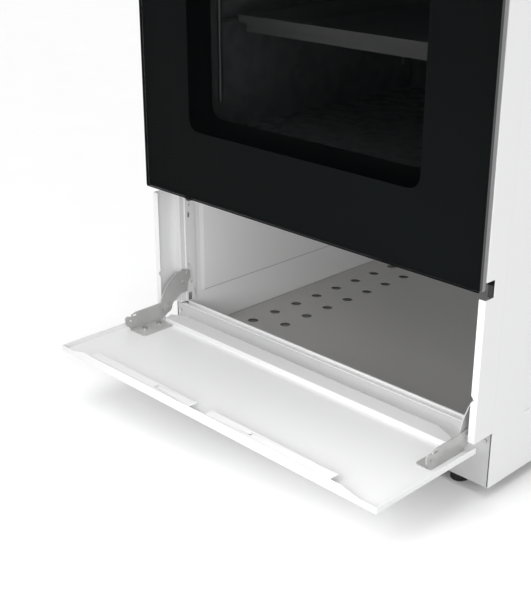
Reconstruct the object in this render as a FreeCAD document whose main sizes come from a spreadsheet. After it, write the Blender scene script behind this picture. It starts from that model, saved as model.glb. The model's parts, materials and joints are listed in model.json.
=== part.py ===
import FreeCAD, Part
import os
import re

import Sketcher

# Freestanding gas range, 500 mm wide, 850 mm to the worktop. Millimetres, +Z up, front faces -Y.
# The origin is on the ground, in the middle of the range's outline with the storage flap down.
# "front" is the plane of the oven door's glass. Depths such as "crease" are measured behind it.

SIZES = {
    # cabinet
    "half": 250, "front": -226.7, "rear": 367.3, "skin": 1, "worktop": 850,
    "leg_gap": 15, "crease": 43.2, "hob_skirt": 30, "back_inset": 16,
    # front posts
    "post_face": 10.4, "post_lip": 8, "post_wall": 238, "post_wall_back": 67,
    "notch_low": 237, "notch_high": 255.5, "notch_back": 24.5,
    # storage compartment
    "sill_top": 81, "floor_low": 38, "store_side": 239.5,
    "store_back": 560, "store_ceiling": 243, "hole_radius": 7.2, "hole_pitch": 42.2,
    # storage flap, hinged on the axis at axis_back, axis_height
    "axis_back": 15, "axis_height": 84, "flap_under": 68, "flap_reach": 140.6, "flap_skin": 1.2,
    "flap_side": 7, "flap_wall": 12, "pin_radius": 3,
    # oven door, hinged on the axis at pivot_back, pivot_height
    "door_half": 249.3, "door_low": 247.5, "door_top": 706, "pane": 4, "door_edge": 10,
    "body_half": 236, "body_low": 262, "body_back": 37, "window_half": 167, "window_low": 341,
    "window_top": 630, "pivot_back": 12, "pivot_height": 256, "hinge_pin": 2.5,
    # oven
    "cavity_half": 195, "cavity_low": 290, "cavity_top": 630, "cavity_front": 45.5,
    "cavity_back": 450, "liner": 1.2, "wool": 22, "rack_half": 187, "tray_height": 452,
    "shelf_height": 540,
    # control panel and gas train
    "panel_low": 711, "panel_top": 818, "knob_height": 764, "knob_radius": 19, "knob_depth": 22,
    "stem_radius": 4, "knob_pitch": 84, "rail_back": 66, "rail_radius": 8, "inlet_radius": 10.4,
    "inlet_x": 205,
    # hob
    "well_floor": 844, "burner_x": 121, "burner_front": 165, "burner_rear": 415, "grate_top": 884,
    "grate_bar": 8, "rapid": 46, "medium": 36, "small": 26,
    # feet
    "foot_x": 201, "foot_front": 62, "foot_rear": 540, "foot_radius": 10, "foot_pad": 13,
}
SIDES = (("left", -1), ("right", 1))
# each burner's number, side and end of the hob and size, and its valve's place from the middle
BURNERS = ((1, -1, "front", "medium"), (2, -1, "rear", "medium"),
           (3, 1, "rear", "rapid"), (4, 1, "front", "small"))
VALVE_OF = {1: -2, 2: -1, 3: 1, 4: 2}
SPIN = {
    "x": FreeCAD.Rotation(FreeCAD.Vector(0, 1, 0), 90),
    "y": FreeCAD.Rotation(FreeCAD.Vector(1, 0, 0), -90),
    "z": FreeCAD.Rotation(),
}

doc = FreeCAD.newDocument("gas_range")
sheet = doc.addObject("Spreadsheet::Sheet", "Dims")
for row, (alias, value) in enumerate(SIZES.items(), 1):
    sheet.set(f"A{row}", alias)
    sheet.set(f"B{row}", str(value))
    sheet.setAlias(f"B{row}", alias)
doc.recompute()
nodes = []


# ---- helpers: every size and place is an expression in the words of the sheet ----

def cells(text):
    """Point each word of an expression at its cell in the sheet."""
    return re.sub(r"\b([a-z]\w*)", r"Dims.\1", str(text))


def number(text):
    """The present value of an expression."""
    return float(sheet.evalExpression(cells(text)))


def place(obj, x, y, z):
    for axis, text in zip("xyz", (x, y, z)):
        obj.setExpression("Placement.Base." + axis, cells(text))


def box(name, x, y, z):
    """A block between the limits x, y and z, each a (low, high) pair."""
    solid = doc.addObject("Part::Box", name)
    for size, (low, high) in zip(("Length", "Width", "Height"), (x, y, z)):
        solid.setExpression(size, cells(f"({high}) - ({low})"))
    place(solid, x[0], y[0], z[0])
    return solid


def rod(name, axis, start, radius, length):
    """A cylinder that runs from its start along the positive axis."""
    solid = doc.addObject("Part::Cylinder", name)
    solid.Placement.Rotation = SPIN[axis]
    solid.setExpression("Radius", cells(radius))
    solid.setExpression("Height", cells(length))
    place(solid, *start)
    return solid


def ball(name, centre, radius):
    solid = doc.addObject("Part::Sphere", name)
    solid.setExpression("Radius", cells(radius))
    place(solid, *centre)
    return solid


def join(name, pieces):
    solid = doc.addObject("Part::MultiFuse", name)
    solid.Shapes = pieces
    solid.Refine = True
    return solid


def cut(name, base, tools):
    """The base less one tool, or less all of several."""
    solid = doc.addObject("Part::Cut", name)
    solid.Base = base
    solid.Tool = tools[0] if len(tools) == 1 else join(name + "_tools", tools)
    solid.Refine = True
    return solid


def overlap(name, first, second):
    solid = doc.addObject("Part::Common", name)
    solid.Base = first
    solid.Tool = second
    return solid


def group(name, pieces):
    """Separate solids that share one node."""
    bundle = doc.addObject("Part::Compound", name)
    bundle.Links = pieces
    return bundle


def mirrored(name, source):
    """The same piece on the other side of the range."""
    twin = doc.addObject("Part::Mirroring", name)
    twin.Source = source
    twin.Normal = FreeCAD.Vector(1, 0, 0)
    return twin


def rounded(name, source, axis, radius):
    """Round the source's straight edges that run along the axis."""
    doc.recompute()
    direction = SPIN[axis].multVec(FreeCAD.Vector(0, 0, 1))
    fillet = doc.addObject("Part::Fillet", name)
    fillet.Base = source
    size = number(radius)
    fillet.Edges = [
        (index, size, size)
        for index, edge in enumerate(source.Shape.Edges, 1)
        if isinstance(edge.Curve, Part.Line) and abs(edge.Curve.Direction.dot(direction)) > 0.999
    ]
    return fillet


def profile(name, plane, outline, start, thickness):
    """A padded sketch: an outline on XY, XZ or YZ, from start along that plane's normal."""
    body = doc.addObject("PartDesign::Body", name)
    sketch = body.newObject("Sketcher::SketchObject", name + "_sketch")
    origin_plane = [f for f in body.Origin.OriginFeatures if f.Role == plane + "_Plane"][0]
    sketch.AttachmentSupport = (origin_plane, "")
    sketch.MapMode = "FlatFace"
    corners = [FreeCAD.Vector(number(u), number(v), 0) for u, v in outline]
    count = len(corners)
    sketch.addGeometry([Part.LineSegment(corners[i], corners[(i + 1) % count]) for i in range(count)])
    for i in range(count):
        sketch.addConstraint(Sketcher.Constraint("Coincident", i, 2, (i + 1) % count, 1))
    for i, point in enumerate(outline):
        for kind, text in zip(("DistanceX", "DistanceY"), point):
            limit = Sketcher.Constraint(kind, -1, 1, i, 1, number(text))
            index = sketch.addConstraint(limit)
            sketch.setExpression(f"Constraints[{index}]", cells(text))
    pad = body.newObject("PartDesign::Pad", name + "_pad")
    pad.Profile = sketch
    pad.setExpression("Length", cells(thickness))
    pad.Reversed = plane == "XZ"
    body.Tip = pad
    normal = {"XY": "z", "XZ": "y", "YZ": "x"}[plane]
    body.setExpression("Placement.Base." + normal, cells(start))
    return body


def tube(name, points, radius):
    """Straight runs along the axes, rounded where they meet."""
    pieces = []
    for index, (a, b) in enumerate(zip(points, points[1:])):
        axis = [k for k in range(3) if str(a[k]) != str(b[k])][0]
        low, high = (a, b) if number(b[axis]) > number(a[axis]) else (b, a)
        length = f"({high[axis]}) - ({low[axis]})"
        pieces.append(rod(f"{name}_run{index}", "xyz"[axis], low, radius, length))
        if index:
            pieces.append(ball(f"{name}_bend{index}", a, radius))
    return join(name, pieces) if len(pieces) > 1 else pieces[0]


def keep(name, obj):
    """Give the finished sub-part its name and put it on the list."""
    obj.Label = name
    nodes.append((name, obj))
    return obj


def span(half):
    """Limits that lie evenly about the middle."""
    return (f"-({half})", half)


def behind(low, high):
    """Depth limits measured behind the oven door's glass."""
    return (f"front + {low}", f"front + {high}")


# ---- cabinet ----

def side_panels():
    """Folded outer sheets with a shallow pressed field."""
    z = ("leg_gap", "worktop - hob_skirt - 0.3")
    sheet_metal = box("side_skin", ("half - skin", "half"), ("front + crease", "rear"), z)
    front_fold = box("side_front_fold", ("half - 9.5", "half"), behind("crease", "crease + skin"),
                     ("sill_top - 0.8", z[1]))
    rear_fold = box("side_rear_fold", ("half - 14", "half"),
                    ("rear - back_inset - 3", "rear - back_inset - 3 + skin"), z)
    field_y = ("front + 92", "rear - 50")
    field_z = ("leg_gap + 68", "worktop - 90")
    backing = box("side_field_back", ("half - 2 * skin", "half - skin"), field_y, field_z)
    backing_round = rounded("side_field_back_round", backing, "x", "12")
    recess = box("side_field", ("half - skin", "half + 1"),
                 (f"{field_y[0]} + 1.2", f"{field_y[1]} - 1.2"),
                 (f"{field_z[0]} + 1.2", f"{field_z[1]} - 1.2"))
    recess_round = rounded("side_field_round", recess, "x", "11")
    whole = join("side_sheet", [sheet_metal, front_fold, rear_fold, backing_round])
    right = keep("side_panel_right", cut("side_panel_right_sheet", whole, [recess_round]))
    keep("side_panel_left", mirrored("side_panel_left_sheet", right))


def front_posts():
    """Corner columns beside the door, notched where the door's lower corner swings."""
    z_low, z_high = "sill_top - 0.2", "panel_low - 0.5"
    section = [
        ("half - post_lip", "front + post_face"), ("half", "front + post_face"),
        ("half", "front + crease - 0.1"), ("post_wall + 1.5", "front + crease - 0.1"),
        ("post_wall + 1.5", "front + 51"), ("post_wall", "front + 51"),
        ("post_wall", "front + post_wall_back"), ("post_wall - skin", "front + post_wall_back"),
        ("post_wall - skin", "front + 50"), ("post_wall + 0.5", "front + 50"),
        ("post_wall + 0.5", "front + crease - skin"), ("half - skin", "front + crease - skin"),
        ("half - skin", "front + post_face + skin"), ("half - post_lip", "front + post_face + skin"),
    ]
    column = profile("post_column", "XY", section, z_low, f"{z_high} - ({z_low})")
    notch = box("post_notch", ("half - 12", "half + 1"), behind("0", "notch_back"),
                ("notch_low", "notch_high"))
    nick = profile("post_nick", "XZ", [
        ("half - post_lip - 1", "123.5"), ("half - post_lip + 4", "129"),
        ("half - post_lip - 1", "134.5")], "front + 8", "5")
    tools = [notch, nick]
    for index, (depth, height) in enumerate(((59, 107), (55, 132.5), (57, 213))):
        tools.append(rod(f"post_hole{index}", "x", ("post_wall - 3", f"front + {depth}", height), 1.1, 6))
    tools.append(box("post_slot", ("post_wall - 3", "post_wall + 3"), behind("54.5", "57.5"),
                     ("196.5", "203")))
    tools.append(box("post_window", ("post_wall - 3", "post_wall + 3"), behind("53", "59"),
                     ("82", "92.5")))
    right = keep("front_post_right", cut("front_post_right_sheet", column, tools))
    keep("front_post_left", mirrored("front_post_left_sheet", right))


def base_frame():
    """Plinth and the ring of rails that carries the feet."""
    plinth = box("plinth", span("half - 1.2"), behind("crease", "crease + skin"),
                 ("leg_gap", "sill_top - 1.2"))
    depth = behind("crease", "foot_rear + 30")
    ring = box("ring", span("half - 1.3"), depth, ("leg_gap + 1", "leg_gap + 2.2"))
    middle = box("ring_middle", span("foot_x - 24"), behind("foot_front + 26", "foot_rear - 26"),
                 ("leg_gap", "leg_gap + 3"))
    rails = []
    for side, sign in SIDES:
        rail = box(f"rail_{side}", ("half - 2.5", "half - 1.3"), depth,
                   ("leg_gap + 1", "leg_gap + 30"))
        rails.append(rail if sign > 0 else mirrored("rail_left_twin", rail))
    rear_rail = box("rear_rail", span("half - 1.3"), behind("foot_rear + 29", "foot_rear + 30"),
                    ("leg_gap + 1", "sill_top - 1.2"))
    nuts = []
    bores = []
    for end in ("front", "rear"):
        for side, sign in SIDES:
            centre = (f"{sign} * foot_x", f"front + foot_{end}")
            nuts.append(rod(f"nut_{end}_{side}", "z", (*centre, "leg_gap + 1"), 8, 12))
            bores.append(rod(f"nut_bore_{end}_{side}", "z", (*centre, "leg_gap"), 4.05, 20))
    body = join("base_body", [plinth, ring, *rails, rear_rail, *nuts])
    keep("base_frame", cut("base_frame_sheet", body, [middle, *bores]))


def feet():
    """Screw-in levelling feet with a fluted plastic body."""
    for end in ("front", "rear"):
        for side, sign in SIDES:
            name = f"foot_{end}_{side}"
            centre = (f"{sign} * foot_x", f"front + foot_{end}")
            pad = rod(name + "_pad", "z", (*centre, 0), "foot_radius", "foot_pad")
            flutes = []
            for index in range(16):
                flute = box(f"{name}_flute{index}", ("0", "2"), ("-0.7", "0.7"), ("0", "foot_pad"))
                turn = FreeCAD.Rotation(FreeCAD.Vector(0, 0, 1), index * 22.5)
                offset = turn.multVec(FreeCAD.Vector(number("foot_radius") - 0.9, -0.7, 0))
                flute.Placement.Rotation = turn
                place(flute, f"{centre[0]} + {offset.x:.4f}", f"{centre[1]} + {offset.y:.4f}", 2)
                flutes.append(flute)
            stem = rod(name + "_stem", "z", (*centre, 0), 4, "leg_gap + 17")
            keep(name, join(name + "_body", [cut(name + "_fluted", pad, flutes), stem]))


def storage_floor():
    """Perforated floor plate with turned-down edges that stand on the base frame."""
    side, low = "store_side - 0.3", "leg_gap + 2.4"
    plate = box("floor_plate", span(side), behind("crease + 1.4", "store_back - 0.4"),
                ("floor_low - skin", "floor_low"))
    inside = box("floor_inside", span(f"{side} - skin"), behind("crease + 2.4", "store_back - 1.4"),
                 (f"{low} - 1", "floor_low - skin"))
    skirt = box("floor_skirt", span(side), behind("crease + 1.4", "store_back - 0.4"), (low, "floor_low"))
    holes = []
    for row, (x, first, count) in enumerate(((-202.5, 137.3, 8), (-162, 158.4, 7))):
        for index in range(count):
            y = f"front + {first} + {index} * hole_pitch"
            holes.append(rod(f"vent{row}_{index}", "z", (x, y, "floor_low - 5"), "hole_radius", 10))
    keep("storage_floor", cut("storage_floor_sheet", join("floor_body", [plate, skirt]),
                              [inside, *holes]))


def storage_sill():
    """Cap over the plinth with a narrow gutter and a hem, and the wall behind it."""
    section = [
        ("front + crease - 1.2", "sill_top - skin"), ("front + crease - 1.2", "sill_top"),
        ("front + crease + 3.4", "sill_top"), ("front + crease + 3.4", "sill_top - 3.2"),
        ("front + crease + 8.6", "sill_top - 3.2"), ("front + crease + 8.6", "sill_top + 0.8"),
        ("front + crease + 10.8", "sill_top + 0.8"), ("front + crease + 10.8", "floor_low + 0.2"),
        ("front + crease + 9.8", "floor_low + 0.2"), ("front + crease + 9.8", "sill_top - 4.2"),
        ("front + crease + 2.4", "sill_top - 4.2"), ("front + crease + 2.4", "sill_top - skin")]
    keep("storage_sill", profile("storage_sill_sheet", "YZ", section, "-half + 13.4", "2 * half - 26.8"))


def storage_liners():
    """Inner side walls of the storage compartment, with a raised field, and its rear wall."""
    z = ("floor_low + 0.2", "store_ceiling - 0.2")
    sheet_x = ("store_side", "store_side + skin")
    low_front = box("liner_low_front", sheet_x, behind("crease + 11.2", "post_wall_back + 2"),
                    (z[0], "sill_top - 0.6"))
    wall = box("liner_wall", sheet_x, behind("post_wall_back + 0.3", "store_back"), z)
    field = profile("liner_field", "XY", [
        ("store_side + 0.2", "front + 75.5"), ("store_side - 1.2", "front + 82.5"),
        ("store_side - 1.2", "front + store_back"), ("store_side + 0.2", "front + store_back")],
        "sill_top + 8", "store_ceiling - sill_top - 8.2")
    right = join("liner_right", [low_front, wall, field])
    rear = box("liner_rear", span("store_side + skin"), behind("store_back + 0.2", "store_back + 1.2"), z)
    keep("storage_liners", group("storage_liners_set", [right, mirrored("liner_left", right), rear]))


def storage_ceiling():
    """Heat shield between the oven and the storage compartment."""
    deck = box("ceiling_deck", span("post_wall + 2.5"), behind("post_wall_back + 1", "store_back"),
               ("store_ceiling", "store_ceiling + skin"))
    front_deck = box("ceiling_front", span("post_wall - 1.3"), behind("47", "post_wall_back + 2"),
                     ("store_ceiling", "store_ceiling + skin"))
    edge = box("ceiling_edge", span("post_wall - 15"), behind("47", "48"),
               ("store_ceiling - 6", "store_ceiling + skin"))
    keep("storage_ceiling", join("storage_ceiling_sheet", [deck, front_deck, edge]))


def back_panel():
    """Rear cover with rows of vent slots."""
    y = ("rear - back_inset - 1.9", "rear - back_inset - 0.9")
    plate = box("back_plate", span("half - 1.3"), y, ("leg_gap + 5", "worktop - hob_skirt - 0.5"))
    tools = [rod("inlet_hole", "y", ("inlet_x", "rear - 30", "knob_height - 30"), 13, 30)]
    for row, height in enumerate((170, 640)):
        for column in range(9):
            x = f"{column - 4} * 44"
            slot = box(f"slot{row}_{column}", (f"{x} - 14", f"{x} + 14"),
                       (f"{y[0]} - 1", f"{y[1]} + 1"), (height, f"{height} + 5"))
            tools.append(slot)
    keep("back_panel", cut("back_panel_sheet", plate, tools))


def cabinet_screws():
    """Pan-head screws of the rear cover and the plinth."""
    screws = []
    for side, sign in SIDES:
        for index, height in enumerate((60, 260, 460, 700)):
            start = (f"{sign} * (half - 8)", "rear - back_inset - 0.9", height)
            screws.append(rod(f"back_screw_{side}{index}", "y", start, 3.8, 2.2))
        start = (f"{sign} * (half - 8)", "front + crease - 1.6", "leg_gap + 53.7")
        screws.append(rod(f"plinth_screw_{side}", "y", start, 2.4, 1.6))
    keep("cabinet_screws", group("cabinet_screw_set", screws))


# ---- storage flap, drawn open ----

def storage_flap():
    """Drop-down flap: a tray of sheet steel with turned-up edges."""
    far = "front - flap_reach"
    near = "front + axis_back + 0.2"
    plate = box("flap_plate", span("half"), (far, near), ("flap_under", "flap_under + flap_skin"))
    sides = []
    for side, sign in SIDES:
        wall = box(f"flap_side_{side}", ("half - flap_skin", "half"), (far, near),
                   ("flap_under", "flap_under + flap_side"))
        sides.append(wall if sign > 0 else mirrored("flap_side_left_twin", wall))
    low, high = "flap_under + flap_side", "flap_under + flap_wall"
    front_wall = profile("flap_front_wall", "XZ", [
        ("-half", "flap_under"), ("half", "flap_under"), ("half", low), ("half - 22", low),
        ("half - 45", high), ("-half + 45", high), ("-half + 22", low), ("-half", low)],
        far, "flap_skin")
    lips = []
    for side, limits in (("left", ("-193", "-15")), ("right", ("10", "191"))):
        lips.append(box(f"flap_lip_{side}", limits, (far, f"{far} + 13.5"),
                        ("flap_under + flap_wall - flap_skin", "flap_under + flap_wall")))
    slope = profile("flap_slope", "YZ", [
        ("front + 2.6", "flap_under"), ("front + 2.6", "flap_under + 7"),
        ("front + 14.6", "flap_under + 13.4"), ("front + 16", "flap_under + 13.4"),
        ("front + 16", "flap_under + 11.8"), ("front + 4.2", "flap_under + 5.6"),
        ("front + 4.2", "flap_under")], "-half + 24", "2 * half - 48")
    plan = profile("flap_hem_plan", "XY", [
        ("-half + 25", "front + 2"), ("half - 25", "front + 2"), ("half - 27", "front + 10"),
        ("half - 51", "front + 16.5"), ("-half + 51", "front + 16.5"), ("-half + 27", "front + 10")],
        "flap_under", "flap_under")
    hem = overlap("flap_hem", slope, plan)
    body = join("flap_body", [plate, *sides, front_wall, *lips, hem])
    tools = [rod(f"flap_hole_{side}", "z", (f"{sign} * 76", f"{far} + 7", "flap_under + 4"), 1.6, 12)
             for side, sign in SIDES]
    keep("storage_flap", cut("storage_flap_sheet", body, tools))


def flap_screws_and_brackets():
    """Angle brackets screwed to the flap; their webs turn on the cabinet's hinge pins."""
    web_x = ("post_wall - 0.7", "post_wall + 0.8")
    plate_top = "flap_under + flap_skin"
    web = profile("bracket_web", "YZ", [
        ("front - 43", plate_top), ("front + 8", plate_top), ("front + 21", "axis_height - 7"),
        ("front + 22", "axis_height + 4"), ("front + 16", "axis_height + 8.5"),
        ("front + 9", "flap_under + 23.4"), ("front - 35", "flap_under + 23"),
        ("front - 42", "flap_under + 21"), ("front - 42.5", "flap_under + 18.4"),
        ("front - 49", "flap_under + 20.4"), ("front - 52", "flap_under + 19"),
        ("front - 52", "flap_under + 11")], web_x[0], "1.5")
    slot = box("bracket_slot", ("post_wall - 3", "post_wall + 3"), behind("-40", "-34"),
               ("flap_under + 18", "flap_under + 20.4"))
    tools = [slot, rod("bracket_pin_hole", "x", ("post_wall - 3", "front + axis_back", "axis_height"),
                       "pin_radius + 0.05", 6),
             rod("bracket_peep", "x", ("post_wall - 3", "front - 44", "flap_under + 12.8"), 1.9, 6)]
    screws = []
    for index, depth in enumerate((-31, -8)):
        centre = ("post_wall - 12", f"front + {depth}")
        tools.append(rod(f"bracket_hole{index}", "z", (*centre, "flap_under + 0.5"), 2.1, 5))
        shank = rod(f"flap_shank{index}", "z", (*centre, plate_top), 2, "2")
        head = rod(f"flap_head{index}", "z", (*centre, f"{plate_top} + 1.5"), 3.6, "1.8")
        screws.append(join(f"flap_screw{index}", [shank, head]))
    pair = []
    for side, width in (("right", 18), ("left", 29)):
        foot = box(f"bracket_foot_{side}", (f"post_wall - {width}", web_x[1]), behind("-46", "2.4"),
                   (plate_top, f"{plate_top} + 1.5"))
        foot_round = rounded(f"bracket_foot_round_{side}", foot, "z", "4")
        pair.append(cut(f"bracket_{side}_sheet", join(f"bracket_body_{side}", [web, foot_round]), tools))
    keep("flap_brackets", group("flap_bracket_pair", [pair[0], mirrored("bracket_left", pair[1])]))
    twins = [mirrored(screw.Name + "_twin", screw) for screw in screws]
    keep("flap_screws", group("flap_screw_set", screws + twins))


def flap_hinge_arms():
    """Quadrant plates riveted to the posts; each carries the pin that the flap turns on."""
    x_low = "post_wall - 2.7"
    outline = ((53.5, 109.7), (50, 111.5), (42.5, 112.7), (35, 111.8), (27.4, 108.6), (17.2, 101.2),
               (9.4, 91.1), (4.6, 80), (4.6, 69), (22.5, 69), (25.9, 73.2), (32.1, 77.2), (38.8, 81.4),
               (48.9, 81.4), (50.4, 94), (54.6, 99.1), (55.3, 103))
    plate = profile("arm_plate", "YZ", [(f"front + {y}", f"leg_gap + {z}") for y, z in outline],
                    x_low, "1.5")
    axis = ("front + axis_back", "axis_height")
    eye = rod("arm_eye", "x", (x_low, *axis), 8, 1.5)
    washer = rod("arm_washer", "x", (f"{x_low} - 1.2", *axis), 5, 1.2)
    stud = rod("arm_stud", "x", (f"{x_low} - 2.2", *axis), 2.6, 2.2)
    pin = rod("arm_pin", "x", (x_low, *axis), "pin_radius", "4.6")
    rivet = rod("arm_rivet", "x", (f"{x_low} - 1.4", "front + 50.7", "leg_gap + 107"), 3, 1.4)
    hole = rod("arm_hole", "x", (f"{x_low} - 1", "front + 42", "leg_gap + 96.4"), 2.4, 4)
    right = cut("arm_right", join("arm_body", [plate, eye, washer, stud, pin, rivet]), [hole])
    keep("flap_hinge_arms", group("flap_hinge_arm_pair", [right, mirrored("arm_left", right)]))


# ---- oven door ----

def oven_door():
    """Full-width outer glass on a frame, with a narrower body that fits between the posts."""
    z = ("door_low", "door_top")
    glass = box("outer_glass", span("door_half"), behind("0", "pane"), z)
    keep("door_outer_glass", rounded("outer_glass_round", glass, "y", "2.5"))

    rim = box("door_rim", span("door_half - 0.3"), behind("pane", "door_edge"),
              ("door_low + 0.4", "door_top - 0.4"))
    body_z = ("body_low", "door_top - 12")
    trunk = box("door_trunk", span("body_half"), behind("door_edge", "body_back"), body_z)
    hollow = box("door_hollow", span("body_half - liner"), behind("door_edge - 1", "body_back + 1"),
                 ("body_low + liner", "door_top - 12 - liner"))
    port = box("door_port", span("window_half + 12"), behind("pane - 1", "door_edge + 1"),
               ("window_low - 18", "window_top + 18"))
    shell = cut("door_shell", join("door_shell_body", [rim, trunk]), [port])
    solid_rim = box("door_rim_keep", span("door_half"), behind("pane - 1", "door_edge"),
                    ("door_low", "door_top"))
    inside = cut("door_inside", hollow, [solid_rim])
    slots = []
    for side, sign in SIDES:
        slot = box(f"door_slot_{side}", ("body_half - 12", "body_half - liner"),
                   behind("pane", "body_back + 1"), ("door_low - 1", "body_low + 3"))
        slots.append(slot if sign > 0 else mirrored("door_slot_left_twin", slot))
    keep("door_frame", cut("door_frame_sheet", shell, [inside, *slots]))

    panel = box("inner_sheet", span("body_half"), behind("body_back", "body_back + liner"), body_z)
    opening = box("inner_window", span("window_half"), behind("body_back - 1", "body_back + 3"),
                  ("window_low", "window_top"))
    opening_round = rounded("inner_window_round", opening, "y", "16")
    keep("door_inner_panel", cut("door_inner_panel_sheet", panel, [opening_round]))
    pane = box("inner_pane", span("body_half - 14"), behind("body_back + liner", "pane + body_back + 1"),
               ("body_low + 8", "door_top - 22"))
    keep("door_inner_glass", rounded("inner_pane_round", pane, "y", "6"))


def door_handle():
    """Round bar on two stand-offs near the top of the door."""
    height = "door_top - 42"
    bar = rod("handle_bar", "x", ("-205", "front - 38", height), 8, 410)
    posts = [rod(f"handle_post_{side}", "y", (f"{sign} * 178", "front - 38", height), 6.5, 38)
             for side, sign in SIDES]
    keep("door_handle", join("door_handle_body", [bar, *posts]))


def door_hinges():
    """Arms fixed in the cabinet and the channels in the door that turn on them."""
    axis = ("front + pivot_back", "pivot_height")
    arm_x = ("body_half - 8", "body_half - 4")
    strip = box("hinge_strip", arm_x, behind("pivot_back", "85"),
                ("pivot_height - 4.5", "pivot_height + 4.5"))
    eye = rod("hinge_eye", "x", (arm_x[0], *axis), 4.5, 4)
    hook = box("hinge_hook", arm_x, behind("62", "70"), ("pivot_height - 9", "pivot_height"))
    bore = rod("hinge_bore", "x", ("body_half - 9", *axis), "hinge_pin + 0.05", 6)
    arm = cut("hinge_arm_right", join("hinge_arm_body", [strip, eye, hook]), [bore])
    keep("door_hinge_arms", group("door_hinge_arm_pair", [arm, mirrored("hinge_arm_left", arm)]))

    cheeks = []
    for name, low in (("inner", "body_half - 9.6"), ("outer", "body_half - 3.5")):
        cheeks.append(rod(f"hinge_cheek_{name}", "x", (low, *axis), 5.2, 1.2))
        cheeks.append(box(f"hinge_plate_{name}", (low, f"{low} + 1.2"), behind("10.6", "26"),
                          ("pivot_height", "420")))
    web = box("hinge_web", ("body_half - 9.6", "body_half - 2.3"), behind("24.8", "26"),
              ("body_low + 14", "420"))
    pin = rod("hinge_pin_rod", "x", ("body_half - 9.6", *axis), "hinge_pin", 7.3)
    channel = join("hinge_channel_right", [*cheeks, web, pin])
    keep("door_hinge_channels",
         group("door_hinge_channel_pair", [channel, mirrored("hinge_channel_left", channel)]))


# ---- oven ----

def oven_front_frame():
    """Face of the oven that the door closes on, its seal, and two rubber bumpers below it."""
    z = ("store_ceiling + 1.5", "panel_low - 1")
    half = "post_wall - 1.2"
    face = box("frame_face", span(half), behind("crease + 0.3", "cavity_front"), z)
    mouth = box("frame_mouth", span("cavity_half"), behind("40", "50"), ("cavity_low", "cavity_top"))
    returns = []
    slots = []
    for side, sign in SIDES:
        fold = box(f"frame_fold_{side}", (f"{half} - 1.2", half), behind("crease + 0.3", "60"), z)
        slot = box(f"frame_slot_{side}", ("body_half - 9", "body_half - 3"), behind("40", "50"),
                   ("pivot_height - 6", "pivot_height + 6"))
        returns.append(fold if sign > 0 else mirrored("frame_fold_left_twin", fold))
        slots.append(slot if sign > 0 else mirrored("frame_slot_left_twin", slot))
    keep("oven_front_frame", cut("oven_front_frame_sheet", join("frame_body", [face, *returns]),
                                 [rounded("frame_mouth_round", mouth, "y", "8"), *slots]))

    outer = box("gasket_outer", span("cavity_half + 16"), behind("pane + body_back + 1.3", "crease + 0.3"),
                ("cavity_low - 14", "cavity_top + 16"))
    inner = box("gasket_inner", span("cavity_half + 9"), behind("40", "45"),
                ("cavity_low - 7", "cavity_top + 9"))
    ring = cut("gasket_ring", rounded("gasket_outer_round", outer, "y", "20"),
               [rounded("gasket_inner_round", inner, "y", "13")])
    bumpers = []
    for side, sign in SIDES:
        centre = (f"{sign} * (body_half - 5.5)", "front + 52.5")
        stalk = rod(f"bumper_stalk_{side}", "z", (*centre, "store_ceiling - 19"), 5.5, 19)
        tip = rod(f"bumper_tip_{side}", "z", (*centre, "store_ceiling - 21.5"), 4, 2.5)
        bumpers.append(join(f"bumper_{side}", [stalk, tip]))
    keep("door_gasket", group("door_gasket_set", [ring, *bumpers]))


def oven_cavity():
    """Enamelled box, open at the front, in its mineral wool jacket."""
    z = ("cavity_low - liner", "cavity_top + liner")
    shell = box("cavity_shell", span("cavity_half + liner"), behind("cavity_front + 0.1", "cavity_back"), z)
    room = box("cavity_room", span("cavity_half"), behind("cavity_front - 2", "cavity_back - liner"),
               ("cavity_low", "cavity_top"))
    entry = rod("cavity_entry", "x", ("-cavity_half - 30", "front + 110", "cavity_low + 14"), 5, 45)
    keep("oven_cavity", cut("oven_cavity_sheet", shell,
                            [rounded("cavity_room_round", room, "y", "8"), entry]))

    jacket = box("wool_block", span("cavity_half + wool"), behind("62", "cavity_back + wool"),
                 ("cavity_low - wool", "cavity_top + wool"))
    space = box("wool_space", span("cavity_half + liner + 0.2"), behind("60", "cavity_back + 0.2"),
                ("cavity_low - liner - 0.2", "cavity_top + liner + 0.2"))
    passage = rod("wool_passage", "x", ("-cavity_half - 30", "front + 110", "cavity_low + 14"), 5, 45)
    keep("oven_insulation", cut("oven_insulation_block", jacket, [space, passage]))


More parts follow.
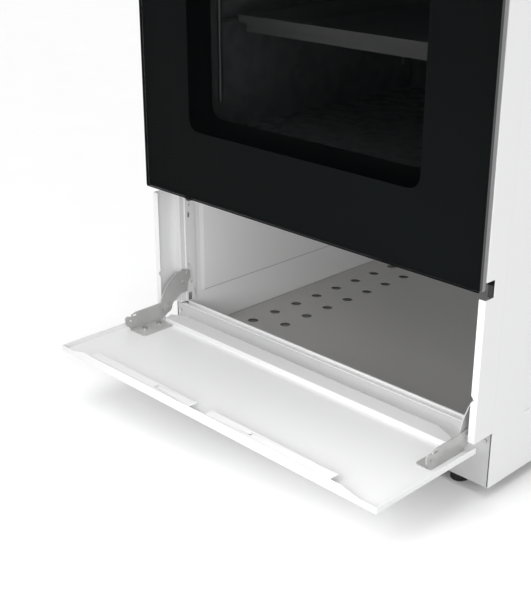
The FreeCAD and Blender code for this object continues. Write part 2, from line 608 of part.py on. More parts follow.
def oven_fittings():
    """Burner, floor plate, lamp, rack guides, shelf and tray."""
    height = "cavity_low + 14"
    near, far = "front + 110", "front + 400"
    loop = tube("burner_loop", [("-90", far, height), ("-90", near, height), ("90", near, height),
                                ("90", far, height)], 7)
    feed = rod("burner_feed", "x", ("-90", far, height), 7, 180)
    stands = [box(f"burner_stand_{side}", (f"{sign} * 90 - 8", f"{sign} * 90 + 8"),
                  behind("240", "256"), ("cavity_low", height)) for side, sign in SIDES]
    keep("oven_burner", join("oven_burner_body", [loop, feed, *stands,
                                                 ball("burner_corner_left", ("-90", far, height), 7),
                                                 ball("burner_corner_right", ("90", far, height), 7)]))

    deck = box("plate_deck", span("cavity_half - 6"), behind("60", "438"),
               ("cavity_low + 26", "cavity_low + 27.2"))
    legs = []
    for side, sign in SIDES:
        leg = box(f"plate_leg_{side}", ("cavity_half - 7.2", "cavity_half - 6"), behind("60", "438"),
                  ("cavity_low + 0.6", "cavity_low + 27.2"))
        legs.append(leg if sign > 0 else mirrored("plate_leg_left_twin", leg))
    vents = [box(f"plate_vent{index}", (f"{index - 3} * 50 - 14", f"{index - 3} * 50 + 14"),
                 behind("76", "84"), ("cavity_low + 20", "cavity_low + 30")) for index in range(7)]
    vents.append(rod("plate_entry", "x", ("-cavity_half", "front + 110", height), 5, 20))
    keep("oven_floor_plate", cut("oven_floor_plate_sheet", join("plate_body", [deck, *legs]), vents))

    lamp_at = ("120", "cavity_top - 60")
    bezel = rod("lamp_bezel", "y", (lamp_at[0], "front + cavity_back - liner - 5", lamp_at[1]), 26, 5)
    dome = rod("lamp_dome", "y", (lamp_at[0], "front + cavity_back - liner - 18", lamp_at[1]), 20, 14)
    keep("oven_lamp", join("oven_lamp_body", [bezel, dome]))

    rods = []
    levels = ("tray_height - 4.2", "tray_height + 46", "shelf_height - 6")
    for level, low in enumerate(levels):
        rods.append(rod(f"rack_rail{level}", "y", ("rack_half", "front + 74", low), 2.5, 350))
    for index, depth in enumerate((74, 424)):
        rods.append(rod(f"rack_post{index}", "z", ("cavity_half - 3.1", f"front + {depth}",
                                                   "cavity_low + 60"), 2.9, 230))
    guide = join("rack_right", rods)
    keep("shelf_guides", group("shelf_guide_pair", [guide, mirrored("rack_left", guide)]))

    rim_low = "tray_height - 1.4"
    rim = box("tray_rim", span("rack_half + 1"), behind("98", "430"), (rim_low, "tray_height"))
    pan = box("tray_pan", span("rack_half - 8"), behind("106", "422"),
              ("tray_height - 20", "tray_height"))
    bowl = box("tray_bowl", span("rack_half - 9.2"), behind("107.2", "420.8"),
               ("tray_height - 18.8", "tray_height + 1"))
    fold = box("tray_fold", span("rack_half - 3"), behind("98", "99.2"), ("tray_height - 9", "tray_height"))
    sheet_pan = cut("tray_sheet", join("tray_body", [rim, pan, fold]),
                    [rounded("tray_bowl_round", bowl, "z", "14")])
    keep("baking_tray", sheet_pan)

    wires = []
    wire_z = "shelf_height"
    for index in range(15):
        x = f"{index - 7} * 25"
        wires.append(rod(f"shelf_wire{index}", "y", (x, "front + 100", wire_z), 1.6, 325))
    for index, depth in enumerate((100, 425)):
        wires.append(rod(f"shelf_bar{index}", "x", ("-rack_half + 2", f"front + {depth}", wire_z),
                         3, "2 * rack_half - 4"))
    for side, sign in SIDES:
        wires.append(rod(f"shelf_side_{side}", "y", (f"{sign} * (rack_half - 2)", "front + 100", wire_z),
                         3, 325))
    keep("wire_shelf", join("wire_shelf_body", wires))


# ---- controls and gas train ----

def knob_places():
    """Name and middle of each of the five controls."""
    return [(index + 1, f"{index - 2} * knob_pitch") for index in range(5)]


def control_panel():
    """Folded fascia above the door, open at the back."""
    z = ("panel_low", "panel_top")
    outer = box("fascia_outer", span("half"), behind("0", "crease - 0.2"), z)
    inner = box("fascia_inner", span("half - liner"), behind("liner", "crease + 1"),
                ("panel_low + liner", "panel_top - liner"))
    holes = [rod(f"fascia_hole{index}", "y", (x, "front - 1", "knob_height"), "stem_radius + 1", 5)
             for index, x in knob_places()]
    keep("control_panel", cut("control_panel_sheet", rounded("fascia_round", outer, "x", "2"),
                              [inner, *holes]))


def controls():
    """Each stem pushes into its valve, and its knob turns on it."""
    for index, x in knob_places():
        stem = rod(f"stem{index}", "y", (x, "front - 17", "knob_height"), "stem_radius", 41)
        keep(f"valve_stem_{index}", stem)
        start = (x, "front - 4 - knob_depth", "knob_height")
        grip = rod(f"knob{index}_grip", "y", start, "knob_radius - 2", "knob_depth - 3")
        skirt = rod(f"knob{index}_skirt", "y", (x, "front - 9", "knob_height"), "knob_radius", 5)
        ridge = box(f"knob{index}_ridge", (f"{x} - 4", f"{x} + 4"),
                    ("front - 10 - knob_depth", "front - 6"),
                    ("knob_height - knob_radius + 1", "knob_height + knob_radius - 1"))
        bore = rod(f"knob{index}_bore", "y", (x, "front - 17.3", "knob_height"), "stem_radius + 0.05",
                   20)
        ridge_round = rounded(f"knob{index}_ridge_round", ridge, "x", "2.5")
        keep(f"knob_{index}", cut(f"knob{index}_body", join(f"knob{index}_solid",
                                                            [grip, skirt, ridge_round]), [bore]))


def gas_train():
    """Rail with its rear inlet, five valves on it, and the pipes to the burners."""
    low = "knob_height - 30"
    rail = tube("rail_run", [("-190", "front + rail_back", low), ("inlet_x", "front + rail_back", low),
                             ("inlet_x", "rear - 15", low)], "rail_radius")
    inlet = rod("rail_inlet", "y", ("inlet_x", "rear - 17", low), "inlet_radius", 17)
    bore = rod("rail_bore", "y", ("inlet_x", "rear - 30", low), 6, 31)
    keep("gas_manifold", cut("gas_manifold_body", join("rail_body", [rail, inlet]), [bore]))

    valves = []
    for index, x in knob_places():
        block = box(f"valve{index}_block", (f"{x} - 11", f"{x} + 11"), behind("18", "50"),
                    ("knob_height - 14", "knob_height + 14"))
        saddle = box(f"valve{index}_saddle", (f"{x} - 8", f"{x} + 8"), behind("36", "57.8"),
                     ("knob_height - 38", "knob_height - 10"))
        stem_bore = rod(f"valve{index}_bore", "y", (x, "front + 15", "knob_height"),
                        "stem_radius + 0.05", 16)
        valves.append(cut(f"valve{index}", join(f"valve{index}_body", [block, saddle]), [stem_bore]))
    keep("gas_valves", group("gas_valve_set", valves))

    pipes = []
    for index, sign, end, _ in BURNERS:
        x, y, height = f"{VALVE_OF[index]} * knob_pitch", f"front + burner_{end}", "knob_height"
        pipes.append(tube(f"pipe{index}", [
            (x, "front + 50", height), (x, y, height), (f"{sign} * burner_x", y, height),
            (f"{sign} * burner_x", y, "worktop - 42")], 3))
    side, height = "-half + 22", "knob_height - 7"
    pipes.append(tube("pipe_oven", [
        (0, "front + 50", height), (0, "front + 110", height), (side, "front + 110", height),
        (side, "front + 110", "cavity_low + 14"), ("-97", "front + 110", "cavity_low + 14")], 3))
    keep("burner_pipes", group("burner_pipe_set", pipes))


# ---- hob ----

def hob_top():
    """Pressed worktop with a raised border and a hole for each burner."""
    block = box("hob_block", span("half"), ("front", "rear"), ("worktop - hob_skirt", "worktop"))
    block_round = rounded("hob_block_round", block, "z", "6")
    under = box("hob_under", span("half - 1.2"), ("front + 1.2", "rear - 1.2"),
                ("worktop - hob_skirt - 1", "well_floor - 1.2"))
    well = box("hob_well", span("half - 13"), ("front + 34", "rear - 44"), ("well_floor", "worktop + 1"))
    tools = [under, rounded("hob_well_round", well, "z", "22")]
    for index, sign, end, size in BURNERS:
        tools.append(rod(f"hob_hole{index}", "z",
                         (f"{sign} * burner_x", f"front + burner_{end}", "well_floor - 5"),
                         f"{size} - 6", 10))
    keep("hob_top", cut("hob_top_sheet", block_round, tools))


def burners():
    """Bases, flame crowns, lift-off caps and spark electrodes."""
    bases, heads, sparks = [], [], []
    for index, sign, end, size in BURNERS:
        x, y = f"{sign} * burner_x", f"front + burner_{end}"
        cup = rod(f"cup{index}", "z", (x, y, "worktop - 42"), f"{size} - 8", "well_floor - worktop + 42")
        flange = rod(f"flange{index}", "z", (x, y, "well_floor"), f"{size} + 4", 2.5)
        bases.append(join(f"base{index}", [cup, flange]))
        crown = rod(f"crown{index}", "z", (x, y, "well_floor + 2.5"), f"{size} - 2", 14)
        bowl = rod(f"crown_bowl{index}", "z", (x, y, "well_floor + 8"), f"{size} - 8", 12)
        ports = []
        for spoke in range(12):
            port = box(f"port{index}_{spoke}", ("0", f"{size} + 5"), ("-1", "1"), ("0", "6"))
            port.Placement.Rotation = FreeCAD.Rotation(FreeCAD.Vector(0, 0, 1), spoke * 30 + 10)
            place(port, x, y, "well_floor + 12.5")
            ports.append(port)
        heads.append(cut(f"head{index}", crown, [bowl, *ports]))
        lid = doc.addObject("Part::Cone", f"lid{index}")
        lid.setExpression("Radius1", cells(f"{size} + 1"))
        lid.setExpression("Radius2", cells(f"{size} - 4"))
        lid.Height = 5
        place(lid, x, y, "well_floor + 16.5")
        spigot = rod(f"spigot{index}", "z", (x, y, "well_floor + 12"), f"{size} - 9", 5)
        keep(f"burner_cap_{index}", join(f"cap{index}_body", [lid, spigot]))
        spark_x = f"{x} - {sign} * ({size} + 9)"
        sparks.append(rod(f"spark{index}", "z", (spark_x, y, "well_floor"), 2.2, 18))
    keep("burner_bases", group("burner_base_set", bases))
    keep("burner_heads", group("burner_head_set", heads))
    keep("burner_igniters", group("burner_igniter_set", sparks))


def pan_supports():
    """Two grates of square bar, each over a front and a rear burner."""
    top = ("grate_top - grate_bar", "grate_top")
    inner_x, outer_x = "14", "228"
    near, far = "front + 50", "front + 530"
    middle = "front + (burner_front + burner_rear) / 2"
    bars = []

    def bar(x, y, z=top):
        bars.append(box(f"grate_bar{len(bars)}", x, y, z))

    for edge in (inner_x, f"{outer_x} - grate_bar"):
        bar((edge, f"{edge} + grate_bar"), (near, far))
    for line in (near, f"{middle} - grate_bar / 2", f"{far} - grate_bar"):
        bar((inner_x, outer_x), (line, f"{line} + grate_bar"))
    finger = "24"
    for end in ("front", "rear"):
        y = f"front + burner_{end}"
        across = (f"{y} - grate_bar / 2 + 1", f"{y} + grate_bar / 2 - 1")
        bar((inner_x, f"burner_x - {finger}"), across)
        bar((f"burner_x + {finger}", outer_x), across)
        along = ("burner_x - grate_bar / 2 + 1", "burner_x + grate_bar / 2 - 1")
        low, high = (near, middle) if end == "front" else (middle, far)
        bar(along, (low, f"{y} - {finger}"))
        bar(along, (f"{y} + {finger}", high))
    for x in (inner_x, f"{outer_x} - grate_bar"):
        for line in (near, f"{middle} - grate_bar / 2", f"{far} - grate_bar"):
            bar((x, f"{x} + grate_bar"), (line, f"{line} + grate_bar"), ("well_floor", "grate_top - 1"))
    right = keep("pan_support_right", join("pan_support_right_body", bars))
    keep("pan_support_left", mirrored("pan_support_left_body", right))


def check_and_write():
    """Refuse anything that failed, then write each sub-part to its own file."""
    doc.recompute()
    for obj in doc.Objects:
        if {"Invalid", "Error"} & set(obj.State):
            raise RuntimeError(f"{obj.Name} did not rebuild: {obj.State}")
    os.makedirs("parts", exist_ok=True)
    for name, obj in nodes:
        if obj.Shape.isNull() or not obj.Shape.isValid() or obj.Shape.Volume <= 0:
            raise RuntimeError(f"{name} is not a valid solid")
        obj.Shape.exportStep(f"parts/{name}.step")
        print(f"{name}: {len(obj.Shape.Solids)} solid, {obj.Shape.Volume / 1000:.1f} cm3")


side_panels()
front_posts()
base_frame()
feet()
storage_floor()
storage_sill()
storage_liners()
storage_ceiling()
back_panel()
cabinet_screws()
storage_flap()
flap_screws_and_brackets()
flap_hinge_arms()
oven_door()
door_handle()
door_hinges()
oven_front_frame()
oven_cavity()
oven_fittings()
control_panel()
controls()
gas_train()
hob_top()
burners()
pan_supports()
check_and_write()
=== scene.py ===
"""Looks of the freestanding gas range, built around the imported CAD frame. Metres, +Z up, front faces -Y."""
import json
import math

import bmesh
import bpy
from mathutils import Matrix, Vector


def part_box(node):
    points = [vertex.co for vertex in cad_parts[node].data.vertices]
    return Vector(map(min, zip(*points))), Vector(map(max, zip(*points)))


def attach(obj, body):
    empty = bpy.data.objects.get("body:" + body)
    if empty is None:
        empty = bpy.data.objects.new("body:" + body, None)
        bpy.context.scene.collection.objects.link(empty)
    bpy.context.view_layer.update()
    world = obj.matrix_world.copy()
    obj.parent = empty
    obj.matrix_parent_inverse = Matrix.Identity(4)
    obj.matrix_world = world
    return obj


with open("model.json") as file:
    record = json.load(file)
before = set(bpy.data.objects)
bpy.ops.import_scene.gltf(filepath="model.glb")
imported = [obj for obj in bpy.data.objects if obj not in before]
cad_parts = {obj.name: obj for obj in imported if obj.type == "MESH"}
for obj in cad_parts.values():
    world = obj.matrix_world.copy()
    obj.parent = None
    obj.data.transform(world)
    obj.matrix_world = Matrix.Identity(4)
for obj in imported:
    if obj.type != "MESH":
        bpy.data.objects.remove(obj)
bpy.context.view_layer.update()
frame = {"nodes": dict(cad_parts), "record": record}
nodes = frame["nodes"]
for plain in list(bpy.data.materials):
    bpy.data.materials.remove(plain)


# ---- materials: every one is a small node tree in object coordinates ----

def new_material(name):
    """Empty material: itself, its node tree and its shader."""
    mat = bpy.data.materials.new(name)
    mat.use_nodes = True
    tree = mat.node_tree
    shader = tree.nodes["Principled BSDF"]
    return mat, tree, shader


def coordinates(tree, stretch=(1, 1, 1)):
    """Object coordinates in metres, stretched along each axis."""
    place = tree.nodes.new("ShaderNodeTexCoord")
    scale = tree.nodes.new("ShaderNodeMapping")
    scale.inputs["Scale"].default_value = stretch
    tree.links.new(place.outputs["Object"], scale.inputs["Vector"])
    return scale.outputs["Vector"]


def noise(tree, size, detail=3.0, stretch=(1, 1, 1)):
    """Noise whose lumps are about size metres across."""
    texture = tree.nodes.new("ShaderNodeTexNoise")
    texture.inputs["Scale"].default_value = 1 / size
    texture.inputs["Detail"].default_value = detail
    tree.links.new(coordinates(tree, stretch), texture.inputs["Vector"])
    return texture.outputs["Fac"]


def ramp(tree, factor, low, high, start=0.3, end=0.7):
    """A colour that runs from low to high as the factor rises."""
    node = tree.nodes.new("ShaderNodeValToRGB")
    node.color_ramp.elements[0].position = start
    node.color_ramp.elements[0].color = (*low, 1)
    node.color_ramp.elements[1].position = end
    node.color_ramp.elements[1].color = (*high, 1)
    tree.links.new(factor, node.inputs["Fac"])
    return node.outputs["Color"]


def spread(tree, factor, low, high):
    """Turn a factor of 0 to 1 into a value between low and high."""
    node = tree.nodes.new("ShaderNodeMapRange")
    node.inputs["From Min"].default_value = 0.3
    node.inputs["From Max"].default_value = 0.7
    node.inputs["To Min"].default_value = low
    node.inputs["To Max"].default_value = high
    tree.links.new(factor, node.inputs["Value"])
    return node.outputs["Result"]


def bump(tree, shader, height, depth):
    """Raise the surface by up to depth metres where the height is 1."""
    node = tree.nodes.new("ShaderNodeBump")
    node.inputs["Distance"].default_value = depth
    node.inputs["Strength"].default_value = 1.0
    tree.links.new(height, node.inputs["Height"])
    tree.links.new(node.outputs["Normal"], shader.inputs["Normal"])


def finish_material(name, dark, light, rough=(0.3, 0.4), grain=0.003, stretch=(1, 1, 1),
                    depth=0.00002, metallic=0.0, specular=0.5, coat=0.0, patch=0.12):
    """Colour that drifts between two shades, roughness that drifts too, and a fine surface grain."""
    mat, tree, shader = new_material(name)
    tree.links.new(ramp(tree, noise(tree, patch), dark, light), shader.inputs["Base Color"])
    drift = spread(tree, noise(tree, grain * 4, stretch=stretch), *rough)
    tree.links.new(drift, shader.inputs["Roughness"])
    bump(tree, shader, noise(tree, grain, stretch=stretch), depth)
    shader.inputs["Metallic"].default_value = metallic
    shader.inputs["Specular IOR Level"].default_value = specular
    shader.inputs["Coat Weight"].default_value = coat
    shader.inputs["Coat Roughness"].default_value = 0.06
    return mat


def speckled(name, ground, speck, size=0.0016):
    """Vitreous enamel with pale specks."""
    mat, tree, shader = new_material(name)
    specks = ramp(tree, noise(tree, size, 1.0), ground, speck, 0.68, 0.72)
    tree.links.new(specks, shader.inputs["Base Color"])
    tree.links.new(spread(tree, noise(tree, 0.02), 0.22, 0.34), shader.inputs["Roughness"])
    bump(tree, shader, noise(tree, 0.004), 0.00006)
    shader.inputs["Coat Weight"].default_value = 0.4
    return mat


def see_through(name, tint, alpha, specular=0.5, rough=0.02):
    """Clear or smoked glass that light passes through."""
    mat, tree, shader = new_material(name)
    colour = ramp(tree, noise(tree, 0.08), tint, [c * 1.15 for c in tint])
    tree.links.new(colour, shader.inputs["Base Color"])
    tree.links.new(spread(tree, noise(tree, 0.05), rough, rough * 2), shader.inputs["Roughness"])
    shader.inputs["Alpha"].default_value = alpha
    shader.inputs["Specular IOR Level"].default_value = specular
    return mat


WHITE = finish_material("white_enamel", (0.757, 0.757, 0.761), (0.763, 0.763, 0.767),
                        rough=(0.29, 0.31), grain=0.02, depth=0.000001, coat=0.1)
# Lighter copy of the white enamel on the storage liners and sill: painted light that brightens their shaded
# inner walls.
LINER_LIT = finish_material("liner_painted_light", (0.862, 0.860, 0.860), (0.868, 0.866, 0.866),
                        rough=(0.32, 0.36), grain=0.008, depth=0.000003, coat=0.1)
# Darker copy of the white enamel on the plinth: painted shade for the shadow under the open flap.
PLINTH_SHADE = finish_material("plinth_painted_shade", (0.56, 0.56, 0.562), (0.566, 0.566, 0.568),
                         rough=(0.30, 0.36), grain=0.008, depth=0.000003, coat=0.1)
# Darker copy of the white enamel on the flap's sloping hem face: painted shade.
HEM_SHADE = finish_material("hem_painted_shade", (0.49, 0.49, 0.493), (0.496, 0.496, 0.499), rough=(0.38, 0.42),
                      grain=0.02, depth=0.000001, specular=0.25)
FLOOR_ENAMEL = finish_material("grey_enamel", (0.58, 0.572, 0.56), (0.588, 0.58, 0.568),
                               rough=(0.36, 0.42), grain=0.008, depth=0.000003, coat=0.05)
BLACK_STEEL = finish_material("black_steel", (0.020, 0.020, 0.020), (0.035, 0.034, 0.033),
                              rough=(0.4, 0.55), grain=0.0008, metallic=0.3, patch=0.01)
BLACK_ENAMEL = finish_material("black_enamel", (0.0030, 0.0034, 0.0040), (0.0036, 0.0040, 0.0046),
                               rough=(0.40, 0.46), grain=0.003, depth=0.000004, specular=0.1)
GREY_PAINT = finish_material("grey_paint", (0.20, 0.20, 0.20), (0.22, 0.22, 0.22),
                             rough=(0.35, 0.5), grain=0.001)
PLATED = finish_material("zinc_steel", (0.46, 0.46, 0.455), (0.52, 0.52, 0.515), rough=(0.42, 0.55),
                         grain=0.0012, stretch=(1, 1, 6), depth=0.000006, metallic=0.35, patch=0.02)
EDGE_BLACK = finish_material("glass_edge_black", (0.010, 0.013, 0.012), (0.014, 0.017, 0.016),
                             rough=(0.16, 0.22), grain=0.004, depth=0.000002, specular=0.5)
SHADE = finish_material("shadow_gap", (0.10, 0.10, 0.10), (0.12, 0.12, 0.12), rough=(0.6, 0.7),
                        grain=0.004, depth=0.000002, specular=0.1)
# Grey sheet under the perforated floor: painted shade seen through the holes.
UNDERLAY_SHADE = finish_material("floor_shade_underlay", (0.27, 0.268, 0.264), (0.28, 0.278, 0.274),
                           rough=(0.6, 0.7), grain=0.004, depth=0.000004, specular=0.2)
# Near-black sheet behind the post notches: painted shade in the pockets there.
POCKET_SHADE = finish_material("pocket_painted_shade", (0.004, 0.004, 0.004), (0.006, 0.006, 0.006),
                         rough=(0.6, 0.7), grain=0.004, depth=0.000002, specular=0.1)
GALVANISED = finish_material("galvanised_sheet", (0.49, 0.50, 0.51), (0.55, 0.56, 0.57),
                             rough=(0.35, 0.55), grain=0.006, metallic=0.8, patch=0.015)
SCREW = finish_material("zinc_screw", (0.55, 0.55, 0.54), (0.68, 0.68, 0.67), rough=(0.2, 0.4),
                        grain=0.0006, metallic=1.0, patch=0.004)
HANDLE = finish_material("handle_metal", (0.70, 0.70, 0.71), (0.76, 0.76, 0.77), rough=(0.22, 0.36),
                         grain=0.0012, stretch=(0.05, 1, 1), depth=0.000008, metallic=1.0)
CAVITY = speckled("dark_enamel", (0.22, 0.23, 0.236), (0.30, 0.305, 0.31))
RUBBER = finish_material("gasket_rubber", (0.020, 0.020, 0.020), (0.035, 0.034, 0.033),
                         rough=(0.6, 0.8), grain=0.001, depth=0.00005)
WOOL = finish_material("mineral_wool", (0.42, 0.36, 0.20), (0.60, 0.54, 0.36), rough=(0.85, 0.98),
                       grain=0.004, stretch=(1, 4, 1), depth=0.0012, patch=0.02)
PIPE = finish_material("gas_pipe", (0.42, 0.42, 0.41), (0.56, 0.56, 0.55), rough=(0.3, 0.45),
                       grain=0.002, metallic=0.9, patch=0.03)
LAMP = see_through("lamp_glass", (0.80, 0.80, 0.74), 0.5, rough=0.08)
TRAY = finish_material("aluminised_steel", (0.30, 0.30, 0.30), (0.33, 0.33, 0.33),
                       rough=(0.34, 0.44), grain=0.002, depth=0.000006, metallic=0.2, patch=0.03)
GUIDE = finish_material("dull_wire", (0.20, 0.20, 0.20), (0.27, 0.27, 0.27), rough=(0.35, 0.45),
                        grain=0.002, metallic=0.8)
WIRE = finish_material("bright_wire", (0.62, 0.62, 0.63), (0.74, 0.74, 0.75), rough=(0.12, 0.24),
                       grain=0.002, metallic=1.0)
BRASS = finish_material("valve_brass", (0.56, 0.40, 0.16), (0.70, 0.52, 0.24), rough=(0.25, 0.42),
                        grain=0.001, metallic=1.0, patch=0.02)
KNOB = finish_material("knob_plastic", (0.54, 0.54, 0.545), (0.57, 0.57, 0.575), rough=(0.32, 0.42),
                       grain=0.0012, coat=0.1)
CAP = finish_material("cap_enamel", (0.012, 0.012, 0.013), (0.022, 0.022, 0.023),
                      rough=(0.30, 0.42), grain=0.0018, depth=0.00004, coat=0.3)
CAST = finish_material("burner_aluminium", (0.46, 0.46, 0.46), (0.58, 0.58, 0.58),
                       rough=(0.38, 0.55), grain=0.0014, depth=0.00006, metallic=0.9, patch=0.02)
CERAMIC = finish_material("igniter_ceramic", (0.78, 0.76, 0.70), (0.86, 0.85, 0.80),
                          rough=(0.2, 0.35), grain=0.0015)
IRON = finish_material("grate_iron", (0.014, 0.014, 0.015), (0.028, 0.028, 0.029),
                       rough=(0.48, 0.66), grain=0.0016, depth=0.00012)
FOOT = finish_material("foot_plastic", (0.014, 0.014, 0.014), (0.024, 0.024, 0.024),
                       rough=(0.5, 0.65), grain=0.001, depth=0.00003)
SMOKED = see_through("door_glass", (0.0004, 0.0008, 0.0008), 0.34, 0.022)
INNER_PANE = see_through("inner_pane_glass", (0.002, 0.0036, 0.0036), 0.10, 0.10)
PRINT = finish_material("black_print", (0.0074, 0.0090, 0.0092), (0.0082, 0.0100, 0.0102),
                        rough=(0.55, 0.60), grain=0.02, depth=0.000001, specular=0.05)
INK = finish_material("dial_ink", (0.035, 0.035, 0.038), (0.045, 0.045, 0.048), rough=(0.45, 0.55),
                      grain=0.001, depth=0.000002)

BY_SLOT = {mat.name: mat for mat in (
    WHITE, GREY_PAINT, PLATED, GALVANISED, SCREW, HANDLE, RUBBER, WOOL, PIPE, LAMP, WIRE, BRASS, KNOB,
    CAP, CAST, CERAMIC, IRON, FOOT, SMOKED, BLACK_STEEL, FLOOR_ENAMEL)}
BY_SLOT["dark_enamel"] = CAVITY
# The plinth's darker finish is painted shade; the liners' and sill's lighter finish is painted light.
OWN_FINISH_AND_PAINTED_LIGHT = {"door_inner_glass": INNER_PANE, "door_inner_panel": BLACK_ENAMEL, "base_frame": PLINTH_SHADE,
              "baking_tray": TRAY, "shelf_guides": GUIDE, "storage_liners": LINER_LIT, "storage_sill": LINER_LIT}
FRAME_INSIDE = 0.2345
GLASS_BACK_GAP = 0.004
HEM_TILT_LOW, HEM_TILT_HIGH, HEM_FORWARD = 0.3, 0.97, -0.2


def dress_cad():
    """Give each CAD node its slot's material, and some nodes or faces one of their own; the plinth, liners,
    sill and flap hem get painted light and shade.
    """
    for part in frame["record"]["subparts"]:
        node = nodes[part["node"]]
        node.data.materials.clear()
        node.data.materials.append(BY_SLOT[part["material_slot"]])
    for name, mat in OWN_FINISH_AND_PAINTED_LIGHT.items():
        nodes[name].data.materials[0] = mat
    glass = nodes["door_outer_glass"].data
    glass.materials.append(EDGE_BLACK)
    for face in glass.polygons:
        if abs(face.normal.y) < 0.9:
            face.material_index = 1
    paint_hem_shade(nodes["storage_flap"].data)
    paint_inside("door_frame", BLACK_ENAMEL, FRAME_INSIDE,
                 nodes["door_outer_glass"].bound_box[6][1] + GLASS_BACK_GAP)


def paint_inside(name, mat, half_width, depth):
    """Second material on the faces that lie inside a hollow piece."""
    mesh = nodes[name].data
    mesh.materials.append(mat)
    for face in mesh.polygons:
        if abs(face.center.x) < half_width and face.center.y > depth:
            face.material_index = 1


def paint_hem_shade(mesh):
    """Painted shade on the sloping face of the flap's rear hem: a darker colour that stands in for the
    shading there.
    """
    mesh.materials.append(HEM_SHADE)
    for face in mesh.polygons:
        if HEM_TILT_LOW < face.normal.z < HEM_TILT_HIGH and face.normal.y < HEM_FORWARD:
            face.material_index = 1


def soften(names, width, segments=2):
    """Round the sharp edges of CAD nodes, as folded sheet and castings have them."""
    for name in names:
        node = nodes[name]
        weld = node.modifiers.new("weld", "WELD")
        weld.merge_threshold = 0.00002
        bevel = node.modifiers.new("soft_edges", "BEVEL")
        bevel.width = width
        bevel.segments = segments
        bevel.limit_method = "ANGLE"
        bevel.angle_limit = math.radians(40)
        bevel.use_clamp_overlap = True
        bevel.harden_normals = False


# ---- pieces ----

def link(name, bm, mat, body):
    """Turn a bmesh into a named object that rides on a CAD body."""
    bmesh.ops.recalc_face_normals(bm, faces=bm.faces)
    mesh = bpy.data.meshes.new(name)
    bm.to_mesh(mesh)
    bm.free()
    obj = bpy.data.objects.new(name, mesh)
    bpy.context.scene.collection.objects.link(obj)
    obj.data.materials.append(mat)
    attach(obj, body)


def rounded_outline(x_low, x_high, z_low, z_high, radius, steps=8):
    """Corner points of a rounded rectangle, always the same number of them."""
    points = []
    corners = ((x_high, z_high, 0), (x_low, z_high, 90), (x_low, z_low, 180), (x_high, z_low, 270))
    for cx, cz, start in corners:
        mid = (cx + math.copysign(radius, -(cx - (x_low + x_high) / 2)),
               cz + math.copysign(radius, -(cz - (z_low + z_high) / 2)))
        for step in range(steps + 1):
            turn = math.radians(start + 90 * step / steps)
            points.append((mid[0] + radius * math.cos(turn), mid[1] + radius * math.sin(turn)))
    return points


def ring_plate(name, outer, inner, y_front, y_back, mat, body):
    """Flat plate facing the front, between two outlines of equal length."""
    bm = bmesh.new()
    loops = []
    for y in (y_front, y_back):
        for outline in (outer, inner):
            loops.append([bm.verts.new((x, y, z)) for x, z in outline])
    front_out, front_in, back_out, back_in = loops
    count = len(outer)
    pairs = ((front_out, front_in), (back_out, back_in), (front_out, back_out), (front_in, back_in))
    for one, two in pairs:
        for i in range(count):
            j = (i + 1) % count
            bm.faces.new((one[i], one[j], two[j], two[i]))
    link(name, bm, mat, body)


def door_print():
    """Black print on the back of the outer glass, with the window left clear."""
    inset, corner = 0.0004, 0.0025
    window_half, window_low, window_drop, window_corner = 0.1695, 0.3304, 0.066, 0.015
    low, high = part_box("door_outer_glass")
    outer = rounded_outline(low.x + inset, high.x - inset, low.z + inset, high.z - inset, corner)
    inner = rounded_outline(-window_half, window_half, window_low, high.z - window_drop, window_corner)
    ring_plate("door_print", outer, inner, high.y - 0.00022, high.y - 0.00010, PRINT, "oven_door")


def flat_shape(bm, outline, y_front, y_back):
    """Thin plate with a closed outline of (x, z) points."""
    front_ring = [bm.verts.new((x, y_front, z)) for x, z in outline]
    back_ring = [bm.verts.new((x, y_back, z)) for x, z in outline]
    bm.faces.new(front_ring)
    bm.faces.new(list(reversed(back_ring)))
    for i in range(len(outline)):
        j = (i + 1) % len(outline)
        bm.faces.new((front_ring[j], front_ring[i], back_ring[i], back_ring[j]))


def turned(outline, centre, degrees):
    """Outline turned counter-clockwise as seen from the front, and moved to its centre."""
    turn = math.radians(degrees)
    return [(centre[0] + x * math.cos(turn) - z * math.sin(turn),
             centre[1] + x * math.sin(turn) + z * math.cos(turn)) for x, z in outline]


def disc_outline(radius, steps=20):
    """Corner points of a round disc."""
    turns = [math.tau * i / steps for i in range(steps)]
    return [(radius * math.cos(turn), radius * math.sin(turn)) for turn in turns]


def flame_outline(size, steps=18):
    """Drop with a drawn-out tip, as on a gas dial."""
    points = []
    for i in range(steps):
        turn = math.tau * i / steps
        lift = max(0.0, math.cos(turn)) ** 6
        points.append((size * 0.62 * math.sin(turn) * (1 - 0.5 * lift),
                       size * (0.62 * math.cos(turn) + 0.45 * lift)))
    return list(reversed(points))


def ring_outline_quads(bm, centre, inner, outer, y_front, steps=24):
    """Flat printed ring."""
    loops = [[bm.verts.new((centre[0] + r * math.cos(math.tau * i / steps), y_front,
                            centre[1] + r * math.sin(math.tau * i / steps))) for i in range(steps)]
             for r in (inner, outer)]
    for i in range(steps):
        j = (i + 1) % steps
        bm.faces.new((loops[0][i], loops[0][j], loops[1][j], loops[1][i]))


def slab(name, low, high, mat, body):
    """Thin rectangular sheet with a small bevel, given by its corners."""
    bm = bmesh.new()
    bmesh.ops.create_cube(bm, size=1)
    size = [b - a for a, b in zip(low, high)]
    for vert in bm.verts:
        vert.co = Vector([low[i] + (vert.co[i] + 0.5) * size[i] for i in range(3)])
    bmesh.ops.bevel(bm, geom=bm.edges[:], offset=min(size) * 0.2, segments=1, affect="EDGES")
    link(name, bm, mat, body)


